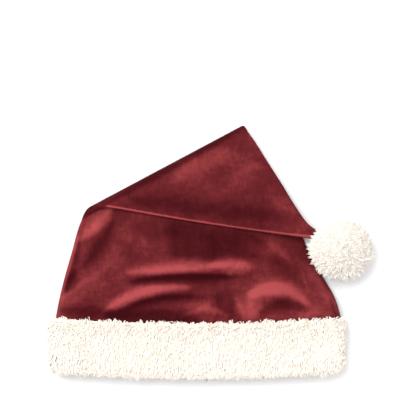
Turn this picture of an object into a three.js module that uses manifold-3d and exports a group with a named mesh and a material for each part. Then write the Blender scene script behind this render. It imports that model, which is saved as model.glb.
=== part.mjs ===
// A santa hat: a velvet crown, a plush brim and a pompom. It lies on its back with its tip folded over.
// Millimetres, +Z up. +X runs across the hat, +Y from the mouth towards the fold.
import * as THREE from "three";
import { mergeVertices } from "three/addons/utils/BufferGeometryUtils.js";
import Module from "manifold-3d";

const wasm = await Module();
wasm.setup();

// Crown, the velvet bag
const crownWidth = 284; // lying flat, where it leaves the brim
const crownHeight = 191; // from the brim's top edge to the peak of the fold
const cloth = 1.6; // thickness of the velvet
const mouthHeight = 28; // across the flattened mouth, outside the velvet
const domeHeight = 15; // how far the front bulges above its rolled edges
const flapHeight = 3.4; // the same for the folded tip
const foldRoom = 2.6; // radius left open inside the fold
const layerGap = 0.9; // between the folded tip and the front that it lies on
const wrinkleHeight = 3.6;
const domeShape = 2.4; // how square the bulge is across the hat
const mouthSag = 5.5; // the middle of the brim lies this much lower than its ends
const plugDepth = 8.5; // of the gathered tip in the pompom

// Brim, the plush band round the mouth
const brimHeight = 54;
const pileDepth = 5.5; // of the plush outside the velvet, without its locks
const backPile = 8; // the same under the hat, where its weight presses the locks flat
const liningDepth = 3; // of the band turned inside the mouth
const tuck = 22; // the velvet's edge sewn into the band
const brimLock = 3; // how far a lock of the brim stands out
const brimLean = 0.5; // how far it leans towards the hem, as a share of that
const lockVariety = 0.3; // share by which the locks differ in length
const seat = 0.3; // clearance between two pieces

// Pompom
const pompomDiameter = 63; // over its locks
const pompomLock = 5;
const pompomSink = 0.07; // share of its radius that its own weight flattens

// Steps of the mesh
const acrossSteps = 24; // from the left edge of a section to the right
const foldSteps = 6; // round the fold
const bodySteps = 3; // from one row of the body's table to the next
const flapSteps = 2; // the same for the folded tip
const ridgeSteps = 20; // along a wrinkle
const ballDetail = 3; // of the pompom's icosahedron

// Sections of the body from the brim to the fold. Ends: shares of crownWidth and crownHeight, from the
// middle of the brim's top edge. under: share of backPile. room: share of the mouth's. dome, sag: shares.
const bodyRows = [
  { lx: -0.5, ly: 0.0, rx: 0.5, ry: 0.0, sag: 1.0, under: 1.0, room: 1.0, dome: 0.0 },
  { lx: -0.489, ly: 0.094, rx: 0.479, ry: 0.105, sag: 0.7, under: 0.5, room: 0.55, dome: 0.55 },
  { lx: -0.47, ly: 0.215, rx: 0.437, ry: 0.215, sag: 0.35, under: 0.1, room: 0.26, dome: 1.0 },
  { lx: -0.447, ly: 0.335, rx: 0.391, ry: 0.335, sag: 0.1, under: 0.0, room: 0.16, dome: 0.88 },
  { lx: -0.432, ly: 0.42, rx: 0.357, ry: 0.461, sag: 0.0, under: 0.0, room: 0.12, dome: 0.58 },
  { lx: -0.425, ly: 0.457, rx: 0.309, ry: 0.628, sag: 0.0, under: 0.0, room: 0.1, dome: 0.34 },
  { lx: -0.418, ly: 0.487, rx: 0.241, ry: 0.817, sag: 0.0, under: 0.0, room: 0.09, dome: 0.14 },
];

// The fold's outer line, in the same shares, and how far its rolled left end runs along it.
const crease = { lx: -0.425, ly: 0.546, rx: 0.16, ry: 1.009 };
const creaseRoom = 0.085; // share of the mouth's room
const creaseRoll = 0.098; // share of crownWidth
const creaseRollShape = 1.2; // above 1 it runs mostly at the end of the turn

// Sections of the folded tip from the fold to the pompom. loft: share of flapHeight.
// toTip: how far a section has left the height of the body for that of the tip.
const flapRows = [
  { lx: -0.266, ly: 0.564, rx: 0.201, ry: 0.914, room: 0.1, loft: 0.45, toTip: 0.0 },
  { lx: -0.167, ly: 0.538, rx: 0.241, ry: 0.819, room: 0.11, loft: 0.9, toTip: 0.0 },
  { lx: -0.026, ly: 0.503, rx: 0.289, ry: 0.707, room: 0.12, loft: 1.0, toTip: 0.0 },
  { lx: 0.121, ly: 0.47, rx: 0.331, ry: 0.605, room: 0.12, loft: 0.9, toTip: 0.0 },
  { lx: 0.255, ly: 0.442, rx: 0.368, ry: 0.521, room: 0.13, loft: 0.6, toTip: 0.25 },
  { lx: 0.357, ly: 0.421, rx: 0.394, ry: 0.479, room: 0.15, loft: 0.3, toTip: 0.7 },
  { lx: 0.408, ly: 0.409, rx: 0.424, ry: 0.452, room: 0.16, loft: 0.0, toTip: 1.0 },
];
const tipRise = 0.8; // height of the tip, as a share of the pompom's centre
const tipReach = 0.92; // where the tip meets the pompom, as a share of its radius
const plugTaper = 0.8; // how much the gathered end narrows in the pompom

// The band's section. depth: share of pileDepth outside, and of liningDepth inside, up to 1 at its
// deepest. up: share of brimHeight from its top edge.
const pileRows = [
  { depth: 0.45, up: 0.02 },
  { depth: 0.95, up: -0.12 },
  { depth: 1.0, up: -0.32 },
  { depth: 1.0, up: -0.52 },
  { depth: 1.0, up: -0.72 },
  { depth: 0.8, up: -0.9 },
];
const hemUp = -0.97;
const liningRows = [
  { depth: 0.8, up: -0.9 },
  { depth: 1.0, up: -0.5 },
  { depth: 1.0, up: -0.06 },
  { depth: 0.0, up: -0.03 },
];

// Wrinkles, each a ridge on an arc. Ends: shares as above. bend: how far the arc's middle lies to the
// left of its chord, as a share of the chord. width: share of crownWidth. height: share.
const wrinkles = [
  { layer: "front", fx: -0.245, fy: 0.236, tx: 0.2, ty: 0.25, bend: 0.05, width: 0.03, height: 1.0 },
  { layer: "front", fx: -0.355, fy: 0.03, tx: -0.005, ty: 0.165, bend: 0.12, width: 0.028, height: 1.0 },
  { layer: "front", fx: 0.15, fy: 0.01, tx: 0.4, ty: 0.07, bend: 0.45, width: 0.035, height: 1.1 },
  { layer: "front", fx: -0.33, fy: 0.54, tx: -0.43, ty: 0.36, bend: 0.08, width: 0.035, height: 0.7 },
  { layer: "front", fx: 0.36, fy: 0.37, tx: 0.46, ty: 0.06, bend: -0.05, width: 0.025, height: 0.5 },
  { layer: "flap", fx: -0.08, fy: 0.71, tx: 0.15, ty: 0.86, bend: 0.02, width: 0.05, height: 0.4 },
  { layer: "flap", fx: 0.25, fy: 0.62, tx: 0.33, ty: 0.57, bend: 0.0, width: 0.03, height: 0.3 },
];

const lerp = THREE.MathUtils.lerp;
const clamp = THREE.MathUtils.clamp;
const mouthRoom = mouthHeight / 2 - cloth;
const goldenTurn = Math.PI * (3 - Math.sqrt(5));
const place = (x, y) => new THREE.Vector2(x * crownWidth, y * crownHeight);

// A value between the rows of a table, smooth and never past the rows on either side.
function between(rows, name, at) {
  const value = (i) => rows[clamp(i, 0, rows.length - 1)][name];
  const slope = (i) => {
    const before = value(i) - value(i - 1);
    const after = value(i + 1) - value(i);
    if (i <= 0 || i >= rows.length - 1) return before + after;
    if (before * after <= 0) return 0;
    return Math.sign(before) * Math.min(Math.abs(before), Math.abs(after), Math.abs(before + after) / 4) * 2;
  };
  const i = clamp(Math.floor(at), 0, rows.length - 2);
  const t = at - i;
  const rise = value(i + 1) - value(i);
  const [a, b] = [slope(i), slope(i + 1)];
  return value(i) + t * (a + t * (3 * rise - 2 * a - b + t * (a + b - 2 * rise)));
}

// Each section as a row of lengths: its ends, sag, lift, edge, front, back and turn. edge is half the
// thickness of its rolled edges, and lift is the height under them. front and back are its two bulges.
function bodySections() {
  const rows = bodyRows.map((r) => ({
    ...ends(place(r.lx, r.ly), place(r.rx, r.ry)),
    sag: r.sag * mouthSag,
    lift: r.under * backPile,
    edge: cloth + r.room * mouthRoom,
    front: r.dome * domeHeight,
    back: 0,
    turn: 0,
  }));
  rows.push(foldSection(0));
  const rim = { ...rows[0], ly: rows[0].ly - tuck, ry: rows[0].ry - tuck };
  return [rim, ...finer(rows, bodySteps)];
}

function ends(left, right) {
  return { lx: left.x, ly: left.y, rx: right.x, ry: right.y };
}

function middleOf(section) {
  return section.lift + section.edge;
}

// The section that has turned by an angle round the fold, from 0 (in the body) to a half turn (in the tip).
function foldSection(turn) {
  const edge = cloth + creaseRoom * mouthRoom;
  const radius = edge + foldRoom;
  const from = place(crease.lx, crease.ly);
  const to = place(crease.rx, crease.ry);
  const along = to.clone().sub(from).normalize();
  const inward = new THREE.Vector2(along.y, -along.x).multiplyScalar(edge + radius * (1 - Math.sin(turn)));
  const roll = creaseRoll * crownWidth * (turn / Math.PI) ** creaseRollShape;
  const left = from.addScaledVector(along, roll).add(inward);
  const right = to.add(inward);
  const lift = radius * (1 - Math.cos(turn));
  return { ...ends(left, right), sag: 0, lift, edge, front: 0, back: 0, turn };
}

function flapSections(front) {
  const start = { ...foldSection(Math.PI), toTip: 0 };
  const rows = flapRows.map((r) => ({
    ...ends(place(r.lx, r.ly), place(r.rx, r.ry)),
    sag: 0,
    lift: start.lift,
    edge: cloth + r.room * mouthRoom,
    front: 0,
    back: r.loft * flapHeight,
    turn: Math.PI,
    toTip: r.toTip,
  }));
  let carried = middleOf(start);
  const sections = finer([start, ...rows], flapSteps).slice(1);
  for (const s of sections) {
    for (const p of loopOf({ ...s, lift: -s.edge }, 0).slice(0, acrossSteps + 1)) {
      carried = Math.max(carried, heightAt(front, p.x, p.y) + layerGap - p.z);
    }
    s.lift = lerp(carried, tipRise * pompomHeight, s.toTip) - s.edge;
  }
  return sections;
}

// The same rows with steps between them.
function finer(rows, steps) {
  const names = Object.keys(rows[0]);
  const made = [];
  for (let i = 0; i <= (rows.length - 1) * steps; i += 1) {
    made.push(Object.fromEntries(names.map((name) => [name, between(rows, name, i / steps)])));
  }
  return made;
}

// The points round a section, moved in by an inset: across its front from left to right, and back.
function loopOf(section, inset) {
  const left = new THREE.Vector2(section.lx, section.ly);
  const right = new THREE.Vector2(section.rx, section.ry);
  const across = right.clone().sub(left).normalize();
  const half = right.distanceTo(left) / 2 - inset;
  const edge = section.edge - inset;
  const facing = new THREE.Vector3(across.y, -across.x, 0).multiplyScalar(Math.sin(section.turn));
  facing.z = Math.cos(section.turn);
  const points = [];
  for (let k = 0; k < 2 * acrossSteps; k += 1) {
    const onFront = k < acrossSteps;
    const a = -Math.cos((Math.PI * k) / acrossSteps);
    const roll = Math.min(1, ((1 - Math.abs(a)) * half) / edge);
    const dome = 1 - Math.abs(a) ** domeShape;
    const bulge = edge * Math.sqrt(1 - (1 - roll) ** 2) + dome * (onFront ? section.front : section.back);
    const p = new THREE.Vector3((left.x + right.x) / 2, (left.y + right.y) / 2, middleOf(section));
    p.x += across.x * a * half;
    p.y += across.y * a * half - section.sag * (1 - a * a);
    p.addScaledVector(facing, onFront ? bulge : -bulge);
    const upper = onFront ? Math.max(0, facing.z) : Math.max(0, -facing.z);
    p.z += upper ** 2 * dome * ridge(onFront ? "front" : "flap", p.x, p.y);
    points.push(p);
  }
  return points;
}

// How high the wrinkles of a layer stand at a place.
function ridge(layer, x, y) {
  let height = 0;
  for (const w of wrinkles.filter((one) => one.layer === layer)) {
    const from = place(w.fx, w.fy);
    const to = place(w.tx, w.ty);
    const chord = to.clone().sub(from);
    const top = from.clone().add(to).multiplyScalar(0.5);
    top.add(new THREE.Vector2(-chord.y, chord.x).multiplyScalar(2 * w.bend));
    const arc = new THREE.QuadraticBezierCurve(from, top, to);
    let nearest = { far: Infinity, t: 0 };
    for (let step = 0; step <= ridgeSteps; step += 1) {
      const t = step / ridgeSteps;
      const far = arc.getPoint(t).distanceTo(new THREE.Vector2(x, y));
      if (far < nearest.far) nearest = { far, t };
    }
    const taper = Math.sqrt(Math.max(0, 4 * nearest.t * (1 - nearest.t)));
    height += w.height * wrinkleHeight * taper * Math.exp(-((nearest.far / (w.width * crownWidth)) ** 2));
  }
  return height;
}

// Height of the front at a place, from the loops of the body, or 0 beside it.
function heightAt(loops, x, y) {
  let height = 0;
  for (let i = 1; i < loops.length; i += 1) {
    for (let k = 0; k < acrossSteps; k += 1) {
      const [a, b, c, d] = [loops[i - 1][k], loops[i - 1][k + 1], loops[i][k + 1], loops[i][k]];
      height = Math.max(height, heightIn(a, b, c, x, y), heightIn(a, c, d, x, y));
    }
  }
  return height;
}

function heightIn(a, b, c, x, y) {
  const whole = (b.x - a.x) * (c.y - a.y) - (c.x - a.x) * (b.y - a.y);
  const ofB = ((x - a.x) * (c.y - a.y) - (c.x - a.x) * (y - a.y)) / whole;
  const ofC = ((b.x - a.x) * (y - a.y) - (x - a.x) * (b.y - a.y)) / whole;
  return Math.min(ofB, ofC, 1 - ofB - ofC) < 0 ? 0 : a.z + ofB * (b.z - a.z) + ofC * (c.z - a.z);
}

// A closed skin through loops of points, with a fan over each end.
function skin(loops) {
  const around = loops[0].length;
  const points = loops.flat();
  const faces = [];
  for (let i = 1; i < loops.length; i += 1) {
    for (let k = 0; k < around; k += 1) {
      const [a, b] = [(i - 1) * around + k, (i - 1) * around + ((k + 1) % around)];
      faces.push([a, b, b + around], [a, b + around, a + around]);
    }
  }
  for (const [start, turned] of [[0, true], [points.length - around, false]]) {
    const hub = points.length;
    points.push(centreOf(points.slice(start, start + around)));
    for (let k = 0; k < around; k += 1) {
      const [a, b] = [start + k, start + ((k + 1) % around)];
      faces.push(turned ? [b, a, hub] : [a, b, hub]);
    }
  }
  return geometryOf(points, faces);
}

function centreOf(points) {
  return points.reduce((sum, p) => sum.add(p), new THREE.Vector3()).divideScalar(points.length);
}

function geometryOf(points, faces) {
  const geometry = new THREE.BufferGeometry().setFromPoints(points);
  return geometry.setIndex(faces.flat());
}

const pompomRadius = pompomDiameter / 2;
const pompomHeight = pompomRadius * (1 - pompomSink);

const body = bodySections();
const folds = [];
for (let i = 1; i <= foldSteps; i += 1) {
  folds.push(foldSection((Math.PI * i) / foldSteps));
}
const flap = flapSections(body.slice(1).map((s) => loopOf(s, 0)));
const tip = flap[flap.length - 1];
const tipMiddle = new THREE.Vector3((tip.lx + tip.rx) / 2, (tip.ly + tip.ry) / 2, middleOf(tip));
const pompomCentre = pompomPlace();

// The pompom's centre: straight on from the gathered tip, at the height at which it rests.
function pompomPlace() {
  const on = new THREE.Vector3(tip.ry - tip.ly, tip.lx - tip.rx, 0).normalize();
  const rise = pompomHeight - tipMiddle.z;
  const reach = Math.sqrt((pompomRadius * tipReach) ** 2 - rise ** 2);
  return tipMiddle.clone().addScaledVector(on, reach).setZ(pompomHeight);
}

// The gathered end of the tip, which the pompom is sewn round.
function plug(depth) {
  const on = pompomCentre.clone().sub(tipMiddle).normalize().multiplyScalar(depth);
  const shrink = (1 - plugTaper) / 2;
  const narrow = (a, b) => lerp(a, b, shrink);
  return {
    ...tip,
    lx: narrow(tip.lx, tip.rx) + on.x,
    ly: narrow(tip.ly, tip.ry) + on.y,
    rx: narrow(tip.rx, tip.lx) + on.x,
    ry: narrow(tip.ry, tip.ly) + on.y,
    lift: tip.lift + on.z + (1 - plugTaper) * tip.edge,
    edge: tip.edge * plugTaper,
  };
}

// One wall all the way: the inside from the tip down to the rim, and the outside back up to the tip.
function crownGeometry() {
  const sections = [...body, ...folds, ...flap];
  const hollow = sections.slice(0, -1).map((s) => loopOf(s, cloth));
  const outside = [...sections, plug(plugDepth)].map((s) => loopOf(s, 0));
  return skin([...hollow.reverse(), ...outside]);
}

// The band's section as points. out: from the outside of the velvet. up: from the brim's top edge.
// pile: the side that runs on from this point carries the pile.
function brimProfile() {
  const insideOf = (share) => -cloth - seat - share * liningDepth;
  const outside = pileRows.map((r) => ({ out: seat + r.depth * pileDepth, up: r.up * brimHeight, pile: true }));
  const inside = liningRows.map((r) => ({ out: insideOf(r.depth), up: r.up * brimHeight, pile: false }));
  const hem = { out: -cloth / 2, up: hemUp * brimHeight, pile: true };
  const slot = [
    { out: insideOf(0), up: -tuck - seat, pile: false },
    { out: seat, up: -tuck - seat, pile: false },
    { out: seat, up: 0, pile: false },
  ];
  return [...outside, hem, ...inside, ...slot];
}

// How long a lock is, as a share of the longest.
function lockShare(index) {
  return 1 - lockVariety * (0.5 + 0.5 * Math.sin(index * goldenTurn));
}

// The outward direction at each point of the rim, as long as keeps the moved sides parallel.
function rimNormals(rim) {
  const side = (p, q) => new THREE.Vector3(p.z - q.z, 0, q.x - p.x).normalize();
  return rim.map((p, k) => {
    const before = side(rim[(k + rim.length - 1) % rim.length], p);
    const after = side(p, rim[(k + 1) % rim.length]);
    const both = before.clone().add(after).normalize();
    return both.divideScalar(both.dot(after));
  });
}

// The band swept round the rim, each cell of its pile drawn out into a lock that leans towards the hem.
function brimGeometry() {
  const rim = loopOf(body[0], 0);
  const normals = rimNormals(rim);
  const profile = brimProfile();
  const count = profile.length;
  const points = [];
  const faces = [];
  const onFloor = (p) => p.setZ(Math.max(0, p.z));
  rim.forEach((p, k) => {
    for (const row of profile) {
      points.push(onFloor(p.clone().addScaledVector(normals[k], row.out).setY(p.y + tuck + row.up)));
    }
  });
  rim.forEach((p, k) => {
    const next = (k + 1) % rim.length;
    for (let j = 0; j < count; j += 1) {
      const up = (j + 1) % count;
      const [a, b, c, d] = [k * count + j, next * count + j, next * count + up, k * count + up];
      if (!profile[j].pile) {
        faces.push([a, c, b], [a, d, c]);
        continue;
      }
      const corners = [a, b, c, d].map((i) => points[i]);
      const out = corners[1].clone().sub(corners[0]).cross(corners[3].clone().sub(corners[0])).normalize();
      const length = brimLock * lockShare(a);
      const lock = centreOf(corners).addScaledVector(out, -length);
      lock.y -= brimLean * length;
      const peak = points.push(onFloor(lock)) - 1;
      faces.push([b, a, peak], [c, b, peak], [d, c, peak], [a, d, peak]);
    }
  });
  return geometryOf(points, faces);
}

// A ball whose every face is drawn out into a lock, flattened where it rests.
function pompomBall() {
  const ball = new THREE.IcosahedronGeometry(1, ballDetail);
  ball.deleteAttribute("normal");
  ball.deleteAttribute("uv");
  const merged = mergeVertices(ball, 1e-4);
  const at = merged.getAttribute("position");
  const directions = [];
  for (let i = 0; i < at.count; i += 1) {
    directions.push(new THREE.Vector3().fromBufferAttribute(at, i).normalize());
  }
  const stand = (direction, radius) => {
    const p = pompomCentre.clone().addScaledVector(direction, radius);
    return p.setZ(Math.max(0, p.z));
  };
  const points = directions.map((d) => stand(d, pompomRadius - pompomLock));
  const faces = [];
  const corners = merged.index.array;
  for (let i = 0; i < corners.length; i += 3) {
    const [a, b, c] = [corners[i], corners[i + 1], corners[i + 2]];
    const middle = centreOf([directions[a], directions[b], directions[c]]).normalize();
    const peak = points.push(stand(middle, pompomRadius - pompomLock * (1 - lockShare(i)))) - 1;
    faces.push([a, b, peak], [b, c, peak], [c, a, peak]);
  }
  return geometryOf(points, faces);
}

// The pompom with a pocket that clears the gathered tip all round.
function pompomGeometry() {
  const near = [...flap.slice(-3), plug(plugDepth + seat)];
  const pocket = skin(near.map((s) => loopOf(s, -seat)));
  return geometryFrom(solidOf(pompomBall()).subtract(solidOf(pocket)));
}

function solidOf(geometry) {
  const triVerts = new Uint32Array(geometry.index.array);
  const vertProperties = new Float32Array(geometry.getAttribute("position").array);
  return new wasm.Manifold(new wasm.Mesh({ numProp: 3, vertProperties, triVerts }));
}

function geometryFrom(solid) {
  const mesh = solid.getMesh();
  const geometry = new THREE.BufferGeometry();
  geometry.setAttribute("position", new THREE.BufferAttribute(mesh.vertProperties, 3));
  return geometry.setIndex(new THREE.BufferAttribute(mesh.triVerts, 1));
}

const velvet = new THREE.MeshStandardMaterial({ color: 0x76282e, roughness: 0.75, metalness: 0 });
const plush = new THREE.MeshStandardMaterial({ color: 0xfbf7ee, roughness: 0.95, metalness: 0 });

function piece(name, geometry, material) {
  geometry.computeVertexNormals();
  const mesh = new THREE.Mesh(geometry, material);
  mesh.name = name;
  return mesh;
}

const hat = new THREE.Group();
hat.add(piece("crown", crownGeometry(), velvet));
hat.add(piece("brim", brimGeometry(), plush));
hat.add(piece("pompom", pompomGeometry(), plush));

// The origin is on the floor, under the middle of the hat.
const extent = new THREE.Box3().setFromObject(hat);
const middle = extent.getCenter(new THREE.Vector3());
hat.children.forEach((mesh) => mesh.position.set(-middle.x, -middle.y, -extent.min.z));

export default hat;
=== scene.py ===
import math

import bpy
import numpy as np
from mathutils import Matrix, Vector, noise
from mathutils.bvhtree import BVHTree


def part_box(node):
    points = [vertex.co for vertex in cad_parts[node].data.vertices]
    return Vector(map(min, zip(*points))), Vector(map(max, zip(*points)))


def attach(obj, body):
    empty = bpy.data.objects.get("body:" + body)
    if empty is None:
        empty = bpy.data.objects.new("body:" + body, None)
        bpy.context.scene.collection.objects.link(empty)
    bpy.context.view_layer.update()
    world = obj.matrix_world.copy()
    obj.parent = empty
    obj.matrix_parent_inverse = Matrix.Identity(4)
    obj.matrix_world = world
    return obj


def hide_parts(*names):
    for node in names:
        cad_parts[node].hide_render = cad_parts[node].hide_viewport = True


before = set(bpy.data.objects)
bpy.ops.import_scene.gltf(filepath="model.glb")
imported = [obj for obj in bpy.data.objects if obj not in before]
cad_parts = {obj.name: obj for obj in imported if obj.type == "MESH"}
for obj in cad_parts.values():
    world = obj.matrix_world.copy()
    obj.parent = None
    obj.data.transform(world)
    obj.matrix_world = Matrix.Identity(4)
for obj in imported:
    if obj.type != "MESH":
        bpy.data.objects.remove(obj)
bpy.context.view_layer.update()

# A santa hat lying flat, seen from straight above: a velvet crown whose tip is folded over the front, a
# plush brim and a pompom. Metres, +Z up, +X across the hat, +Y from the mouth towards the fold.
rng = np.random.default_rng(12)
# Keeps a direction's length from being nothing
TINY = 1e-12

# Sizes of the cloth that the frame's boxes don't give, in metres. DOME_SHAPE is a power, PLUG_TAPER a share.
CLOTH = 0.0016
TUCK = 0.022
MOUTH_SAG = 0.0055
CROWN_HEIGHT = 0.191
MOUTH_HEIGHT = 0.028
DOME_HEIGHT = 0.015
DOME_SHAPE = 2.4
FLAP_HEIGHT = 0.0034
FOLD_ROOM = 0.0026
LAYER_GAP = 0.0009
BACK_PILE = 0.008
BRIM_HEIGHT = 0.054
PLUG_DEPTH = 0.0085
PLUG_TAPER = 0.8
SEAT = 0.0003

crown_low, crown_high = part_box("crown")
pompom_low, pompom_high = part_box("pompom")
CROWN_WIDTH = crown_high[0] - crown_low[0]
# The middle of the brim's top edge, from which the tables below measure
SEAM_X = (crown_high[0] + crown_low[0]) / 2
SEAM_Y = crown_low[1] + TUCK + MOUTH_SAG
MOUTH_ROOM = MOUTH_HEIGHT / 2 - CLOTH
POMPOM_RADIUS = (pompom_high[0] - pompom_low[0]) / 2
POMPOM = Vector((
    (pompom_high[0] + pompom_low[0]) / 2,
    (pompom_high[1] + pompom_low[1]) / 2,
    pompom_high[2] - POMPOM_RADIUS,
))

# Sections of the body from the brim to the fold: ends as shares of the crown's width and height, sag,
# under (share of BACK_PILE), room (share of MOUTH_ROOM), dome (share of DOME_HEIGHT).
BODY_ROWS = [
    (-0.5, 0.0, 0.5, 0.0, 1.0, 1.0, 1.0, 0.0),
    (-0.489, 0.094, 0.479, 0.105, 0.7, 0.5, 0.55, 0.55),
    (-0.47, 0.215, 0.437, 0.215, 0.35, 0.1, 0.26, 1.0),
    (-0.447, 0.335, 0.391, 0.335, 0.1, 0.0, 0.16, 0.88),
    (-0.432, 0.42, 0.357, 0.461, 0.0, 0.0, 0.12, 0.58),
    (-0.425, 0.457, 0.309, 0.628, 0.0, 0.0, 0.1, 0.34),
    (-0.418, 0.487, 0.241, 0.817, 0.0, 0.0, 0.09, 0.14),
]
# The fold's outer line, its room, and how far its rolled left end runs along it.
CREASE = (-0.425, 0.546, 0.16, 1.009)
CREASE_ROOM = 0.085
CREASE_ROLL = 0.098
CREASE_ROLL_SHAPE = 1.2
# Sections of the folded tip: ends, room, loft (share of FLAP_HEIGHT), share of the way to the tip's height.
FLAP_ROWS = [
    (-0.266, 0.564, 0.201, 0.914, 0.1, 0.45, 0.0),
    (-0.167, 0.538, 0.241, 0.819, 0.11, 0.9, 0.0),
    (-0.026, 0.503, 0.289, 0.707, 0.12, 1.0, 0.0),
    (0.121, 0.47, 0.331, 0.605, 0.12, 0.9, 0.0),
    (0.255, 0.442, 0.368, 0.521, 0.13, 0.6, 0.25),
    (0.357, 0.421, 0.394, 0.479, 0.15, 0.3, 0.7),
    (0.408, 0.409, 0.424, 0.452, 0.16, 0.0, 1.0),
]
TIP_RISE = 0.8

# Folds in the velvet, each a ridge on an arc: layer, ends (shares), bend (share of the chord, to the left),
# width on the left of the arc, width on its right (metres), height (metres).
FOLDS = [
    ("front", -0.255, 0.215, 0.188, 0.23, 0.02, 0.0085, 0.0046, 0.005),
    ("front", -0.35, -0.005, -0.016, 0.131, 0.085, 0.008, 0.0046, 0.0046),
    ("front", 0.146, -0.021, 0.188, 0.141, 0.1, 0.0065, 0.008, 0.0014),
    ("front", 0.174, 0.105, 0.389, 0.047, 0.16, 0.009, 0.009, 0.0038),
    ("front", 0.33, 0.355, 0.445, 0.04, -0.05, 0.0060, 0.0070, 0.0026),
    ("front", -0.33, 0.56, -0.405, 0.42, 0.10, 0.0090, 0.0110, 0.0022),
    ("front", -0.435, 0.37, -0.475, 0.14, 0.0, 0.0060, 0.0100, 0.0016),
    ("front", -0.06, 0.02, 0.09, 0.02, 0.16, 0.0060, 0.0050, 0.0018),
    ("front", 0.36, 0.31, 0.39, 0.14, 0.03, 0.0020, 0.0020, -0.0009),
    ("front", -0.29, 0.40, 0.06, 0.36, -0.03, 0.0160, 0.0130, 0.0016),
    ("flap", -0.12, 0.70, 0.12, 0.88, 0.03, 0.0160, 0.0130, 0.0014),
    ("flap", 0.24, 0.64, 0.335, 0.575, 0.05, 0.0090, 0.0070, 0.0013),
    ("flap", -0.22, 0.59, 0.25, 0.49, -0.02, 0.0090, 0.0070, -0.0009),
]

# Small gathers where the velvet is sewn into the brim. A pair is a middle value and how far a draw moves
# it from there, in metres.
PUCKERS = 26
PUCKER_SPAN = 0.97
PUCKER_STRAY = 0.012
PUCKER_LEAN = 0.5
PUCKER_HEIGHT = (0.0013, 0.00065)
PUCKER_REACH = (0.008, 0.006)
PUCKER_WIDTH = (0.0022, 0.0008)
pucker_draws = rng.uniform(-1, 1, (PUCKERS, 3))

# Painted light and shade on the velvet: its level everywhere, a stroke's painted highlight or shade, painted
# light where the cloth tilts towards the light's side, painted shade on the rolled fold, and a painted
# highlight along the edges of the folded tip and of the body.
PAINTED_LIGHT_LEVEL = 0.44
PAINTED_STROKE_STRENGTH = 0.55
PAINTED_TILT_LIGHT = 0.35
LIGHT_SIDE = (-0.45, 0.89, 0.0)
ROLLED_PAINTED_SHADE = -0.6
EDGE_LIGHT = 0.8
BODY_EDGE_LIGHT = 0.10
EDGE_LIGHT_AT = 0.0020
EDGE_LIGHT_WIDTH = 0.0018
# The level inside the bag, even all over
INSIDE_LEVEL = 0.3
# Strokes of painted light and shade are laid where the cloth's normal's height is over this
FACES_UP = 0.05
# The turns round the fold, in radians, between which a section counts as rolled
ROLL_FROM = 0.1
ROLL_TO = 3.1
# The turn from which the painted highlight along the edge of the folded tip begins
EDGE_LIGHT_FROM = 3.0
# A stroke's width and strength: the share at its ends, and what its middle adds
STROKE_WIDTH = (0.45, 0.55)
STROKE_STRENGTH = (0.4, 0.6)
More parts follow.
